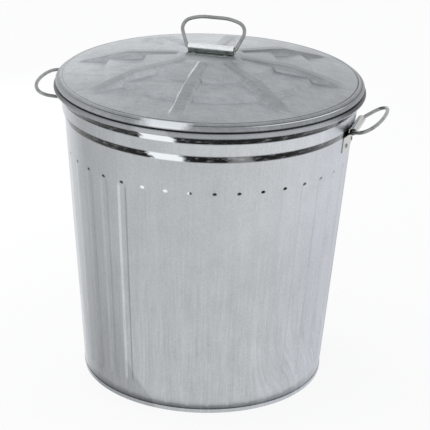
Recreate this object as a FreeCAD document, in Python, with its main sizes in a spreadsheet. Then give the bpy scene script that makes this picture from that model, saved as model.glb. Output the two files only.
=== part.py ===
"""Galvanized trash can with a lift-off lid, in millimetres.

The origin is on the floor under the middle of the base and +Z is up.  The two
side handles are on the +X and -X sides, the front of the can faces -Y, and the
lid handle's bar lies along X apart from the small turn of the loose lid.
"""
import FreeCAD
import Part
import Sketcher
import math
import os

doc = FreeCAD.newDocument("TrashCan")

# ---------------------------------------------------------------- dimensions
dims = doc.addObject("Spreadsheet::Sheet", "Dimensions")
dims.Label = "dims"

sizes = {
    # Sheet, wire and fits
    "sheet_thick": 0.8,
    "strap_thick": 1.2,
    "handle_wire_radius": 2.7,
    "pivot_clearance": 0.06,
    "wire_room": 0.05,
    "wire_end_gap": 1,
    "cut_overrun": 2,
    # Tapered wall, its two outward steps and its rolled rim
    "wall_base_radius": 184.9,
    "wall_slope": 0.0763,
    "first_step_low": 409,
    "first_step_rise": 9,
    "first_step_out": 3,
    "band_rise": 21,
    "second_step_rise": 7,
    "second_step_out": 3.57,
    "rim_roll_rise": 5.6,
    "rim_roll_out": 3,
    "rim_roll_radius": 4,
    "rim_wire_radius": 2.85,
    # Long shallow flutes pressed into the wall
    "flute_count": 38,
    "flute_low": 35,
    "flute_top_gap": 54.4,
    "flute_radius": 11,
    "flute_depth": 1.6,
    # Lock seam at the back of the wall
    "seam_width": 9,
    "seam_height": 1.2,
    "seam_foot_gap": 1.5,
    # Base pan and the hoop folded round the foot
    "hoop_height": 6,
    "pan_height": 9,
    "pan_step_radius": 150,
    "pan_step_rise": 3,
    "pan_step_run": 8,
    # Side handle brackets: a tail on the wall, a neck and a rolled knuckle
    "side_pivot_rise": 8,
    "side_pivot_out": 9.3,
    "side_roll_half_length": 31,
    "clip_roll_radius": 6,
    "clip_mouth_radius": 4.8,
    "clip_mouth_depth": 8,
    "tail_length": 27,
    "tail_angle": 17.4,
    "strap_bend_drop": 2,
    "strap_neck_inset": 4,
    "strap_neck_rise": 0.4,
    "strap_neck_height": 2,
    "strap_neck_width": 3,
    # Rivets
    "rivet_drop": 19,
    "rivet_spacing_angle": 9.3,
    "rivet_shank_radius": 1.9,
    "rivet_head_radius": 3.6,
    "rivet_head_rise": 1.5,
    "rivet_shoulder_radius": 3.05,
    "rivet_shoulder_rise": 0.9,
    "rivet_crown_radius": 1.8,
    "rivet_tail_radius": 2.9,
    "rivet_tail_end_radius": 2.2,
    "rivet_tail_rise": 1.2,
    "drill_reach": 8,
    # Side handle loops
    "side_foot_out": 2,
    "side_widest_half_width": 60,
    "side_widest_reach": 24,
    "side_bar_half_width": 33,
    "side_reach": 45,
    "side_foot_bend": 5,
    "side_corner_bend": 15,
    "side_bar_bend": 27,
    "side_rest_angle": 26,
    # Lid edge roll, resting on the can's rim roll
    "lid_turn": 3,
    "lid_seat_gap": 0.35,
    "lid_roll_in": 3.1,
    "lid_roll_radius": 4.6,
    "lid_wire_radius": 2.95,
    "lid_skirt_in": 4.3,
    "skirt_foot_depth": 0.2,
    "skirt_round_run": 1.6,
    "skirt_round_drop": 1.3,
    # Lid sheet, each circle in from the edge roll and up from it
    "lid_middle_in": 179.4,
    "lid_middle_rise": 41.5,
    "first_tread_start_in": 173.4,
    "first_tread_start_rise": 38.5,
    "first_tread_end_in": 129.4,
    "first_tread_end_rise": 34,
    "second_tread_start_in": 122.4,
    "second_tread_start_rise": 27.5,
    "second_tread_end_in": 73.4,
    "second_tread_end_rise": 22.5,
    "third_tread_start_in": 66.4,
    "third_tread_start_rise": 16,
    "third_tread_end_in": 25.4,
    "third_tread_end_rise": 11.2,
    "border_in": 18.4,
    "border_rise": 10,
    "crease_in": 4.9,
    "crease_rise": 7.6,
    "bead_in": 3.2,
    "bead_rise": 8,
    # Radial ridges of the lid, measured the same way
    "ridge_count": 8,
    "ridge_start_in": 185.4,
    "ridge_start_rise": 41.3,
    "ridge_start_foot": 25,
    "ridge_start_half_width": 6,
    "ridge_middle_in": 100.4,
    "ridge_middle_rise": 34.5,
    "ridge_middle_foot": 15,
    "ridge_middle_half_width": 8,
    "ridge_end_in": 16.4,
    "ridge_end_rise": 10,
    "ridge_end_foot": 3,
    "ridge_end_half_width": 10,
    "ridge_flank_run": 0.6,
    # Ring under the lid that drops into the mouth of the can
    "collar_room": 5.2,
    "collar_drop": 13,
    # Lid clip and handle
    "clip_roll_gap": 0.2,
    "lid_roll_half_length": 34,
    "clip_neck_half_width": 3,
    "clip_foot_half_width": 14.5,
    "lid_rivet_along": 24,
    "lid_rivet_across": 10.2,
    "lid_foot_out": 2.5,
    "lid_widest_half_width": 52,
    "lid_widest_reach": 36.5,
    "lid_bar_half_width": 24,
    "lid_handle_reach": 46.5,
    "lid_foot_bend": 4.5,
    "lid_corner_bend": 15,
    "lid_bar_bend": 70,
    "lid_handle_lean": 25,
}

# Places that follow from the sizes, so that joined pieces keep together.
ties = {
    "first_step_high": "first_step_low + first_step_rise",
    "second_step_low": "first_step_high + band_rise",
    "second_step_high": "second_step_low + second_step_rise",
    "neck_radius": "wall_base_radius + wall_slope * second_step_high"
                   " + first_step_out + second_step_out",
    "rim_roll_height": "second_step_high + rim_roll_rise",
    "rim_roll_centre_radius": "neck_radius + rim_roll_out",
    "flute_high": "first_step_low - flute_top_gap",
    "seam_low": "hoop_height + seam_foot_gap",
    "side_pivot_height": "first_step_low + side_pivot_rise",
    "side_pivot_radius": "wall_base_radius + wall_slope * side_pivot_height + side_pivot_out",
    "tail_low": "first_step_low - tail_length",
    "rivet_height": "first_step_low - rivet_drop",
    "side_bend_half_width": "side_roll_half_length + side_foot_out",
    "lid_roll_centre_radius": "rim_roll_centre_radius - lid_roll_in",
    "lid_roll_height": "rim_roll_height + sqrt((rim_roll_radius + lid_roll_radius"
                       " + lid_seat_gap)^2 - lid_roll_in^2)",
    "lid_skirt_inner_radius": "lid_roll_centre_radius - lid_skirt_in",
    "collar_outer_radius": "neck_radius - sheet_thick - collar_room",
    "collar_low": "lid_roll_height - collar_drop",
    "lid_bend_half_width": "lid_roll_half_length + lid_foot_out",
}
for circle in ("lid_middle", "first_tread_start", "first_tread_end", "second_tread_start",
               "second_tread_end", "third_tread_start", "third_tread_end", "border",
               "crease", "bead", "ridge_start", "ridge_middle", "ridge_end"):
    ties[circle + "_radius"] = "lid_roll_centre_radius - %s_in" % circle
    ties[circle + "_height"] = "lid_roll_height + %s_rise" % circle
for part in ("ridge_start", "ridge_middle", "ridge_end"):
    ties[part + "_bottom"] = "lid_roll_height + %s_foot" % part
ties["lid_pivot_height"] = "lid_middle_height + strap_thick + clip_roll_gap + clip_roll_radius"

cells = {name: str(size) for name, size in sizes.items()}
cells.update({name: "=" + formula for name, formula in ties.items()})
for row, (name, content) in enumerate(cells.items(), start=1):
    dims.set("A%d" % row, name)
    dims.set("B%d" % row, content)
    dims.setAlias("B%d" % row, name)
doc.recompute()


# ------------------------------------------------------------------- helpers
def value(text):
    """The number that an expression on the dimensions gives now."""
    result = dims.evalExpression(text)
    return float(getattr(result, "Value", result))


def new_body(label):
    body = doc.addObject("PartDesign::Body", label)
    body.Label = label
    return body


def origin_item(body, role):
    return [item for item in body.Origin.OriginFeatures if item.Role == role][0]


def new_sketch(body, plane, name):
    sketch = body.newObject("Sketcher::SketchObject", name)
    sketch.AttachmentSupport = [(origin_item(body, plane), "")]
    sketch.MapMode = "FlatFace"
    return sketch


def place_sketch(sketch, base, axis=(0, 0, 1), angle="0"):
    """Shift a sketch in its plane's own axes and tilt it about one of them."""
    sketch.AttachmentOffset = FreeCAD.Placement(
        FreeCAD.Vector(*[value(text) for text in base]),
        FreeCAD.Rotation(FreeCAD.Vector(*axis), value(angle)))
    for part, text in zip("xyz", base):
        if text != "0":
            sketch.setExpression("AttachmentOffset.Base." + part, text)
    if angle != "0":
        sketch.setExpression("AttachmentOffset.Rotation.Angle", angle)


def bind_point(sketch, geometry, end, across, up):
    """Hold one point of a sketch at two expressions measured from its origin."""
    for kind, axis, text in (("DistanceX", -2, across), ("DistanceY", -1, up)):
        if text == "0":
            sketch.addConstraint(Sketcher.Constraint("PointOnObject", geometry, end, axis))
            continue
        number = sketch.addConstraint(
            Sketcher.Constraint(kind, -1, 1, geometry, end, value(text)))
        sketch.setExpression("Constraints[%d]" % number, text)


def add_outline(sketch, corners):
    """Draw a closed polygon whose corners are pairs of expressions."""
    places = [FreeCAD.Vector(value(across), value(up), 0) for across, up in corners]
    count = len(places)
    for index in range(count):
        sketch.addGeometry(Part.LineSegment(places[index], places[(index + 1) % count]), False)
    for index in range(count):
        sketch.addConstraint(
            Sketcher.Constraint("Coincident", index, 2, (index + 1) % count, 1))
    for index, (across, up) in enumerate(corners):
        bind_point(sketch, index, 1, across, up)


def add_circle(sketch, across, up, radius):
    centre = FreeCAD.Vector(value(across), value(up), 0)
    number = sketch.addGeometry(
        Part.Circle(centre, FreeCAD.Vector(0, 0, 1), value(radius)), False)
    bind_point(sketch, number, 3, across, up)
    constraint = sketch.addConstraint(Sketcher.Constraint("Radius", number, value(radius)))
    sketch.setExpression("Constraints[%d]" % constraint, radius)


def revolve(body, sketch, name, kind="PartDesign::Revolution", axis="V_Axis", angle="360"):
    feature = body.newObject(kind, name)
    feature.Profile = sketch
    feature.ReferenceAxis = (sketch, [axis])
    feature.Midplane = angle != "360"
    feature.setExpression("Angle", angle)
    return feature


def polar_pattern(body, feature, name, count, angle="360"):
    pattern = body.newObject("PartDesign::PolarPattern", name)
    pattern.Originals = [feature]
    pattern.Axis = (origin_item(body, "Z_Axis"), [""])
    pattern.setExpression("Angle", angle)
    pattern.setExpression("Occurrences", count)
    body.Tip = pattern
    return pattern


def boolean(kind, label, base, tool):
    result = doc.addObject(kind, label)
    result.Label = label
    result.Base = base
    result.Tool = tool
    return result


WALL = "(dims.wall_base_radius + dims.wall_slope * %s)"
TAPER = "-atan(dims.wall_slope)"


# --------------------------------------------------------------- can wall
def fluted_form(label, inset):
    """The tapered can as one solid, drawn in from its outer skin by inset."""
    body = new_body(label)
    profile = new_sketch(body, "XZ_Plane", label + "_profile")
    if inset == "0":
        bottom = "dims.sheet_thick"
        top = "dims.rim_roll_height"
        neck = "dims.neck_radius"
    else:
        bottom = "-dims.cut_overrun"
        top = "dims.rim_roll_height + dims.cut_overrun"
        neck = "dims.neck_radius - " + inset
    add_outline(profile, [
        ("0", bottom),
        (WALL % ("(" + bottom + ")") + " - " + inset, bottom),
        (WALL % "dims.first_step_low" + " - " + inset, "dims.first_step_low"),
        (WALL % "dims.first_step_high" + " + dims.first_step_out - " + inset,
         "dims.first_step_high"),
        (WALL % "dims.second_step_low" + " + dims.first_step_out - " + inset,
         "dims.second_step_low"),
        (neck, "dims.second_step_high"),
        (neck, top),
        ("0", top)])
    revolve(body, profile, label + "_turned")
    # A flute is a long round-ended hollow whose axis runs along the taper.
    flute = new_sketch(body, "YZ_Plane", label + "_flute_outline")
    start = WALL % "dims.flute_low" + " + dims.flute_radius - dims.flute_depth"
    place_sketch(flute, (start, "dims.flute_low", "0"), angle=TAPER)
    radius = "dims.flute_radius + " + inset
    length = "(dims.flute_high - dims.flute_low)"
    reach = value(radius)
    run = value(length)
    flute.addGeometry(Part.LineSegment(
        FreeCAD.Vector(0, -reach, 0), FreeCAD.Vector(0, run + reach, 0)), False)
    flute.addGeometry(Part.LineSegment(
        FreeCAD.Vector(reach, 0, 0), FreeCAD.Vector(reach, run, 0)), False)
    flute.addGeometry(Part.ArcOfCircle(
        Part.Circle(FreeCAD.Vector(0, 0, 0), FreeCAD.Vector(0, 0, 1), reach),
        -math.pi / 2, 0), False)
    flute.addGeometry(Part.ArcOfCircle(
        Part.Circle(FreeCAD.Vector(0, run, 0), FreeCAD.Vector(0, 0, 1), reach),
        0, math.pi / 2), False)
    flute.addConstraint(Sketcher.Constraint("Coincident", 0, 1, 2, 1))
    flute.addConstraint(Sketcher.Constraint("Coincident", 2, 2, 1, 1))
    flute.addConstraint(Sketcher.Constraint("Coincident", 1, 2, 3, 1))
    flute.addConstraint(Sketcher.Constraint("Coincident", 3, 2, 0, 2))
    bind_point(flute, 2, 3, "0", "0")
    bind_point(flute, 3, 3, "0", length)
    bind_point(flute, 1, 1, radius, "0")
    bind_point(flute, 1, 2, radius, length)
    flute.addConstraint(Sketcher.Constraint("PointOnObject", 0, 1, -2))
    flute.addConstraint(Sketcher.Constraint("PointOnObject", 0, 2, -2))
    groove = revolve(body, flute, label + "_flute", "PartDesign::Groove")
    polar_pattern(body, groove, label + "_flutes", "dims.flute_count")
    return body


outside = fluted_form("wall_outside", "0")

# Lock seam on the land beside the flute at the back.
seam = new_sketch(outside, "YZ_Plane", "seam_side_view")
place_sketch(seam, ("0", "0", "0"), axis=(0, 1, 0), angle="180 / dims.flute_count")
add_outline(seam, [
    (WALL % "dims.seam_low" + " - dims.sheet_thick / 2", "dims.seam_low"),
    (WALL % "dims.seam_low" + " + dims.seam_height", "dims.seam_low"),
    (WALL % "dims.first_step_low" + " + dims.seam_height", "dims.first_step_low"),
    (WALL % "dims.first_step_low" + " - dims.sheet_thick / 2", "dims.first_step_low")])
seam_pad = outside.newObject("PartDesign::Pad", "seam_strip")
seam_pad.Profile = seam
seam_pad.Midplane = True
seam_pad.setExpression("Length", "dims.seam_width")
outside.Tip = seam_pad

# The rolled rim is a hollow ring of sheet round its wire.
rim = new_sketch(outside, "XZ_Plane", "rim_roll_section")
add_circle(rim, "dims.rim_roll_centre_radius", "dims.rim_roll_height", "dims.rim_roll_radius")
revolve(outside, rim, "rim_roll")
rim_hole = new_sketch(outside, "XZ_Plane", "rim_wire_passage")
add_circle(rim_hole, "dims.rim_roll_centre_radius", "dims.rim_roll_height",
           "dims.rim_wire_radius + dims.wire_room")
outside.Tip = revolve(outside, rim_hole, "rim_wire_hollow", "PartDesign::Groove")

inside = fluted_form("wall_inside", "dims.sheet_thick")


# ------------------------------------------------------------------ rivets
def rivet_outline(skin, back):
    """Half a rivet as pairs of distances: along its axis, and out from it."""
    return [
        (back + " - dims.rivet_tail_rise", "0"),
        (skin + " + dims.rivet_head_rise", "0"),
        (skin + " + dims.rivet_head_rise", "dims.rivet_crown_radius"),
        (skin + " + dims.rivet_shoulder_rise", "dims.rivet_shoulder_radius"),
        (skin, "dims.rivet_head_radius"),
        (skin, "dims.rivet_shank_radius"),
        (back, "dims.rivet_shank_radius"),
        (back, "dims.rivet_tail_radius"),
        (back + " - dims.rivet_tail_rise", "dims.rivet_tail_end_radius")]


def drill_outline(high, low):
    return [
        (low, "0"),
        (high, "0"),
        (high, "dims.rivet_shank_radius"),
        (low, "dims.rivet_shank_radius")]


def side_pair(label, outline):
    """Two round pieces a little apart on the wall, square to its taper."""
    body = new_body(label)
    body.AllowCompound = True
    half = new_sketch(body, "XZ_Plane", label + "_half")
    place_sketch(half, (WALL % "dims.rivet_height", "dims.rivet_height", "0"), angle=TAPER)
    add_outline(half, outline)
    single = revolve(body, half, label + "_single", axis="H_Axis")
    polar_pattern(body, single, label + "_pair", "2", "dims.rivet_spacing_angle")
    return body


def turn_about_axis(item, angle):
    """Turn a finished piece round the can's upright axis."""
    item.Placement = FreeCAD.Placement(
        FreeCAD.Vector(0, 0, 0), FreeCAD.Rotation(FreeCAD.Vector(0, 0, 1), value(angle)))
    item.setExpression("Placement.Rotation.Angle", angle)


side_rivet = rivet_outline("dims.strap_thick", "-dims.sheet_thick")
side_drill = drill_outline("dims.drill_reach", "-dims.drill_reach")
TO_RIGHT = "-dims.rivet_spacing_angle / 2"
TO_LEFT = "180 - dims.rivet_spacing_angle / 2"
right_drill = side_pair("right_drill", side_drill)
turn_about_axis(right_drill, TO_RIGHT)
left_drill = side_pair("left_drill", side_drill)
turn_about_axis(left_drill, TO_LEFT)
rivets_right = side_pair("rivets_right", side_rivet)
turn_about_axis(rivets_right, TO_RIGHT)
rivets_left = side_pair("rivets_left", side_rivet)
turn_about_axis(rivets_left, TO_LEFT)

hollow_wall = boolean("Part::Cut", "hollow_wall", outside, inside)
drilled_wall = boolean("Part::Cut", "wall_drilled_right", hollow_wall, right_drill)
can_wall = boolean("Part::Cut", "can_wall", drilled_wall, left_drill)


# ------------------------------------------------- rim wire, base pan, hoop
def ring(label, across, up, radius):
    body = new_body(label)
    section = new_sketch(body, "XZ_Plane", label + "_section")
    add_circle(section, across, up, radius)
    revolve(body, section, label + "_turned")
    return body


def turned(label, corners):
    body = new_body(label)
    section = new_sketch(body, "XZ_Plane", label + "_section")
    add_outline(section, corners)
    revolve(body, section, label + "_turned")
    return body


rim_wire = ring("rim_wire", "dims.rim_roll_centre_radius", "dims.rim_roll_height",
                "dims.rim_wire_radius")

# The pan's upright edge stands inside the wall, and the hoop's inner leaf inside that.
INNER = WALL + " - dims.sheet_thick"
HOOP_INNER = INNER + " - dims.sheet_thick"
base_pan = turned("base_pan", [
    ("0", "dims.pan_height + dims.pan_step_rise - dims.sheet_thick"),
    ("dims.pan_step_radius", "dims.pan_height + dims.pan_step_rise - dims.sheet_thick"),
    ("dims.pan_step_radius + dims.pan_step_run", "dims.pan_height - dims.sheet_thick"),
    (HOOP_INNER % "(dims.pan_height - dims.sheet_thick)", "dims.pan_height - dims.sheet_thick"),
    (HOOP_INNER % "dims.sheet_thick", "dims.sheet_thick"),
    (INNER % "dims.sheet_thick", "dims.sheet_thick"),
    (INNER % "dims.pan_height", "dims.pan_height"),
    ("dims.pan_step_radius + dims.pan_step_run", "dims.pan_height"),
    ("dims.pan_step_radius", "dims.pan_height + dims.pan_step_rise"),
    ("0", "dims.pan_height + dims.pan_step_rise")])

LEAF_TOP = "(dims.pan_height - 2 * dims.sheet_thick)"
base_hoop = turned("base_hoop", [
    (HOOP_INNER % "0" + " - dims.sheet_thick", "0"),
    (WALL % "0" + " + dims.sheet_thick", "0"),
    (WALL % "dims.hoop_height" + " + dims.sheet_thick", "dims.hoop_height"),
    (WALL % "dims.hoop_height", "dims.hoop_height"),
    (WALL % "dims.sheet_thick", "dims.sheet_thick"),
    (HOOP_INNER % "dims.sheet_thick", "dims.sheet_thick"),
    (HOOP_INNER % LEAF_TOP, LEAF_TOP),
    (HOOP_INNER % LEAF_TOP + " - dims.sheet_thick", LEAF_TOP)])


# --------------------------------------------------- side handle brackets
def add_roll(body, label, base, half_length, angle="0"):
    """A rolled knuckle: snug on the wire in its middle, open at both mouths."""
    roll = new_sketch(body, "XY_Plane", label + "_roll_half")
    place_sketch(roll, base, angle=angle)
    add_outline(roll, [
        ("0", "-" + half_length),
        ("dims.clip_roll_radius", "-" + half_length),
        ("dims.clip_roll_radius", half_length),
        ("0", half_length)])
    revolve(body, roll, label + "_roll")
    bore = new_sketch(body, "XY_Plane", label + "_bore_half")
    place_sketch(bore, base, angle=angle)
    snug = "dims.handle_wire_radius + dims.pivot_clearance"
    seat = half_length + " - dims.clip_mouth_depth"
    add_outline(bore, [
        ("0", "-(" + half_length + " + dims.cut_overrun)"),
        ("dims.clip_mouth_radius", "-(" + half_length + " + dims.cut_overrun)"),
        ("dims.clip_mouth_radius", "-(" + seat + ")"),
        (snug, "-(" + seat + ")"),
        (snug, seat),
        ("dims.clip_mouth_radius", seat),
        ("dims.clip_mouth_radius", half_length + " + dims.cut_overrun"),
        ("0", half_length + " + dims.cut_overrun")])
    body.Tip = revolve(body, bore, label + "_bore", "PartDesign::Groove")


def side_bracket(label):
    """A strap riveted to the wall whose top edge is rolled round the wire."""
    body = new_body(label)
    tail = new_sketch(body, "XZ_Plane", label + "_tail_section")
    skin = " + dims.strap_thick"
    bend = "(dims.first_step_low - dims.strap_bend_drop)"
    neck = "dims.side_pivot_radius - dims.strap_neck_inset"
    neck_low = "dims.side_pivot_height - dims.clip_roll_radius + dims.strap_neck_rise"
    neck_high = neck_low + " + dims.strap_neck_height"
    add_outline(tail, [
        (WALL % "dims.tail_low", "dims.tail_low"),
        (WALL % "dims.tail_low" + skin, "dims.tail_low"),
        (WALL % bend + skin, bend),
        (neck, neck_low),
        (neck + " + dims.strap_neck_height", neck_high),
        (neck + " + dims.strap_neck_height - dims.strap_neck_width", neck_high),
        (WALL % "dims.first_step_low", "dims.first_step_low")])
    revolve(body, tail, label + "_tail", angle="dims.tail_angle")
    add_roll(body, label, ("dims.side_pivot_radius", "0", "dims.side_pivot_height"),
             "dims.side_roll_half_length")
    return body


right_strap = side_bracket("right_strap")
bracket_right = boolean("Part::Cut", "bracket_right", right_strap, right_drill)
left_strap = side_bracket("left_strap")
turn_about_axis(left_strap, "180")
bracket_left = boolean("Part::Cut", "bracket_left", left_strap, left_drill)


# ------------------------------------------------------------ wire handles
def wire_loop(label, plane, cut_plane, cut_side, pivot, lean, names):
    """Round wire that widens from its hinge to its bar; its ends meet in the clip."""
    body = new_body(label)
    path = new_sketch(body, plane, label + "_path")
    place_sketch(path, ("0", pivot[1], pivot[0]), axis=(1, 0, 0), angle=lean)
    add_rounded_path(path, "dims.wire_end_gap / 2", [
        (names["foot"], "0", names["foot_bend"]),
        (names["wide"], names["wide_reach"], names["corner_bend"]),
        (names["bar"], names["reach"], names["bar_bend"]),
        ("-" + names["bar"], names["reach"], names["bar_bend"]),
        ("-" + names["wide"], names["wide_reach"], names["corner_bend"]),
        ("-" + names["foot"], "0", names["foot_bend"])])
    section = new_sketch(body, cut_plane, label + "_section")
    place_sketch(section, ("0", "0", cut_side + "dims.wire_end_gap / 2"))
    add_circle(section, pivot[0], pivot[1], "dims.handle_wire_radius")
    pipe = body.newObject("PartDesign::AdditivePipe", label + "_wire")
    pipe.Profile = section
    pipe.Spine = (path, [])
    return body


def add_rounded_path(sketch, half_gap, corners):
    """Straight runs joined by tangent bends; each corner has its own radius."""
    begin = FreeCAD.Vector(value(half_gap), 0, 0)
    finish = FreeCAD.Vector(-value(half_gap), 0, 0)
    points = [begin]
    points += [FreeCAD.Vector(value(across), value(up), 0) for across, up, bend in corners]
    points += [finish]
    run_starts = [begin]
    run_ends = []
    middles = []
    for index, corner in enumerate(corners, start=1):
        here = points[index]
        back = (points[index - 1] - here).normalize()
        ahead = (points[index + 1] - here).normalize()
        half_angle = back.getAngle(ahead) / 2
        bend = value(corner[2])
        cut = bend / math.tan(half_angle)
        inward = (back + ahead).normalize()
        run_ends.append(here + back * cut)
        run_starts.append(here + ahead * cut)
        middles.append(here + inward * (bend / math.sin(half_angle) - bend))
    run_ends.append(finish)
    for start, end in zip(run_starts, run_ends):
        sketch.addGeometry(Part.LineSegment(start, end), False)
    for index, middle in enumerate(middles):
        sketch.addGeometry(Part.Arc(run_ends[index], middle, run_starts[index + 1]), False)
    for index, corner in enumerate(corners):
        add_corner(sketch, corner, points[index + 1], index, len(run_starts) + index)
    bind_point(sketch, 0, 1, half_gap, "0")
    bind_point(sketch, len(corners), 2, "-" + half_gap, "0")


def add_corner(sketch, corner, place, run, arc):
    """Tie one bend to its two runs and to the sharp corner that it rounds."""
    bend = sketch.Geometry[arc]
    arrival = sketch.Geometry[run].EndPoint
    near, far = 1, 2
    if bend.StartPoint.distanceToPoint(arrival) > bend.EndPoint.distanceToPoint(arrival):
        near, far = 2, 1
    sketch.addConstraint(Sketcher.Constraint("Tangent", run, 2, arc, near))
    sketch.addConstraint(Sketcher.Constraint("Tangent", arc, far, run + 1, 1))
    point = sketch.addGeometry(Part.Point(place), True)
    sketch.addConstraint(Sketcher.Constraint("PointOnObject", point, 1, run))
    sketch.addConstraint(Sketcher.Constraint("PointOnObject", point, 1, run + 1))
    bind_point(sketch, point, 1, corner[0], corner[1])
    radius = sketch.addConstraint(Sketcher.Constraint("Radius", arc, value(corner[2])))
    sketch.setExpression("Constraints[%d]" % radius, corner[2])


side_names = {
    "foot": "dims.side_bend_half_width",
    "foot_bend": "dims.side_foot_bend",
    "wide": "dims.side_widest_half_width",
    "wide_reach": "dims.side_widest_reach",
    "corner_bend": "dims.side_corner_bend",
    "bar": "dims.side_bar_half_width",
    "reach": "dims.side_reach",
    "bar_bend": "dims.side_bar_bend"}
side_pivot = ("dims.side_pivot_radius", "dims.side_pivot_height")
handle_right = wire_loop("handle_right", "YZ_Plane", "XZ_Plane", "-", side_pivot,
                         "90 - dims.side_rest_angle", side_names)
handle_left = wire_loop("handle_left", "YZ_Plane", "XZ_Plane", "-", side_pivot,
                        "90 - dims.side_rest_angle", side_names)
turn_about_axis(handle_left, "180")


# --------------------------------------------------------------------- lid
def lid_form(label, inset):
    """The pressed lid as one solid, lowered from its outer skin by inset."""
    body = new_body(label)
    down = " - " + inset
    if inset == "0":
        edge = [
            ("0", "dims.lid_roll_height"),
            ("dims.lid_roll_centre_radius", "dims.lid_roll_height"),
            ("dims.lid_roll_centre_radius",
             "dims.lid_roll_height + dims.lid_roll_radius - dims.skirt_foot_depth"),
            ("dims.bead_radius + dims.skirt_round_run",
             "dims.bead_height - dims.skirt_round_drop"),
            ("dims.bead_radius", "dims.bead_height")]
    else:
        low = "dims.lid_roll_height - dims.lid_roll_radius - dims.cut_overrun"
        edge = [
            ("0", low),
            ("dims.lid_skirt_inner_radius", low),
            ("dims.lid_skirt_inner_radius", "dims.crease_height" + down)]
    profile = new_sketch(body, "XZ_Plane", label + "_profile")
    add_outline(profile, edge + [
        ("dims.crease_radius", "dims.crease_height" + down),
        ("dims.border_radius", "dims.border_height" + down),
        ("dims.third_tread_end_radius", "dims.third_tread_end_height" + down),
        ("dims.third_tread_start_radius" + down, "dims.third_tread_start_height" + down),
        ("dims.second_tread_end_radius" + down, "dims.second_tread_end_height" + down),
        ("dims.second_tread_start_radius" + down, "dims.second_tread_start_height" + down),
        ("dims.first_tread_end_radius" + down, "dims.first_tread_end_height" + down),
        ("dims.first_tread_start_radius" + down, "dims.first_tread_start_height" + down),
        ("dims.lid_middle_radius" + down, "dims.lid_middle_height" + down),
        ("0", "dims.lid_middle_height" + down)])
    revolve(body, profile, label + "_turned")
    sections = []
    for part in ("start", "middle", "end"):
        sections.append(ridge_section(body, label, part, inset))
    ridge = body.newObject("PartDesign::AdditiveLoft", label + "_ridge")
    ridge.Profile = sections[0]
    ridge.Sections = sections[1:]
    ridge.Ruled = True
    polar_pattern(body, ridge, label + "_ridges", "dims.ridge_count")
    return body


def ridge_section(body, label, part, inset):
    """One upright cross-section of a ridge: flat top and sloping flanks."""
    sketch = new_sketch(body, "YZ_Plane", label + "_ridge_" + part)
    place_sketch(sketch, ("0", "0", "dims.ridge_%s_radius" % part))
    top = "dims.ridge_%s_height - %s" % (part, inset)
    bottom = "dims.ridge_%s_bottom" % part
    half = "(dims.ridge_%s_half_width - %s / 2)" % (part, inset)
    spread_run = "dims.ridge_flank_run * (%s - %s)" % (top, bottom)
    add_outline(sketch, [
        ("-" + half + " - " + spread_run, bottom),
        (half + " + " + spread_run, bottom),
        (half, top),
        ("-" + half, top)])
    return sketch


lid_outside = lid_form("lid_outside", "0")
lid_roll = new_sketch(lid_outside, "XZ_Plane", "lid_roll_section")
add_circle(lid_roll, "dims.lid_roll_centre_radius", "dims.lid_roll_height",
           "dims.lid_roll_radius")
revolve(lid_outside, lid_roll, "lid_roll")
lid_hole = new_sketch(lid_outside, "XZ_Plane", "lid_wire_passage")
add_circle(lid_hole, "dims.lid_roll_centre_radius", "dims.lid_roll_height",
           "dims.lid_wire_radius + dims.wire_room")
lid_outside.Tip = revolve(lid_outside, lid_hole, "lid_wire_hollow", "PartDesign::Groove")
lid_inside = lid_form("lid_inside", "dims.sheet_thick")
hollow_lid = boolean("Part::Cut", "hollow_lid", lid_outside, lid_inside)

lid_edge_wire = ring("lid_edge_wire", "dims.lid_roll_centre_radius",
                     "dims.lid_roll_height", "dims.lid_wire_radius")

# The collar's top edge follows the underside of the lid's border.
UNDER = ("dims.crease_height - dims.sheet_thick + (dims.crease_radius - %s)"
         " * (dims.border_height - dims.crease_height)"
         " / (dims.crease_radius - dims.border_radius)")
collar_inner = "(dims.collar_outer_radius - dims.sheet_thick)"
lid_collar = turned("lid_collar", [
    (collar_inner, "dims.collar_low"),
    ("dims.collar_outer_radius", "dims.collar_low"),
    ("dims.collar_outer_radius", UNDER % "dims.collar_outer_radius"),
    (collar_inner, UNDER % collar_inner)])


# --------------------------------------------------- lid clip and its rivets
def lid_rivet_group(label, outline):
    """Four round pieces at the corners of the clip's foot."""
    body = new_body(label)
    body.AllowCompound = True
    sketch = new_sketch(body, "XZ_Plane", label + "_half")
    place_sketch(sketch, ("dims.lid_rivet_along", "0", "dims.lid_rivet_across"))
    add_outline(sketch, [(out, along) for along, out in outline])
    single = revolve(body, sketch, label + "_single")
    multi = body.newObject("PartDesign::MultiTransform", label + "_corners")
    across = body.newObject("PartDesign::Mirrored", label + "_across")
    across.MirrorPlane = (origin_item(body, "XZ_Plane"), [""])
    along = body.newObject("PartDesign::Mirrored", label + "_along")
    along.MirrorPlane = (origin_item(body, "YZ_Plane"), [""])
    multi.Originals = [single]
    multi.Transformations = [across, along]
    body.Tip = multi
    return body


foot_top = "dims.lid_middle_height + dims.strap_thick"
lid_under = "dims.lid_middle_height - dims.sheet_thick"
lid_rivets = lid_rivet_group("lid_clip_rivets", rivet_outline(foot_top, lid_under))
lid_drill = lid_rivet_group("lid_drill", drill_outline(
    foot_top + " + dims.rivet_head_rise", "dims.lid_middle_height - dims.drill_reach"))

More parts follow.
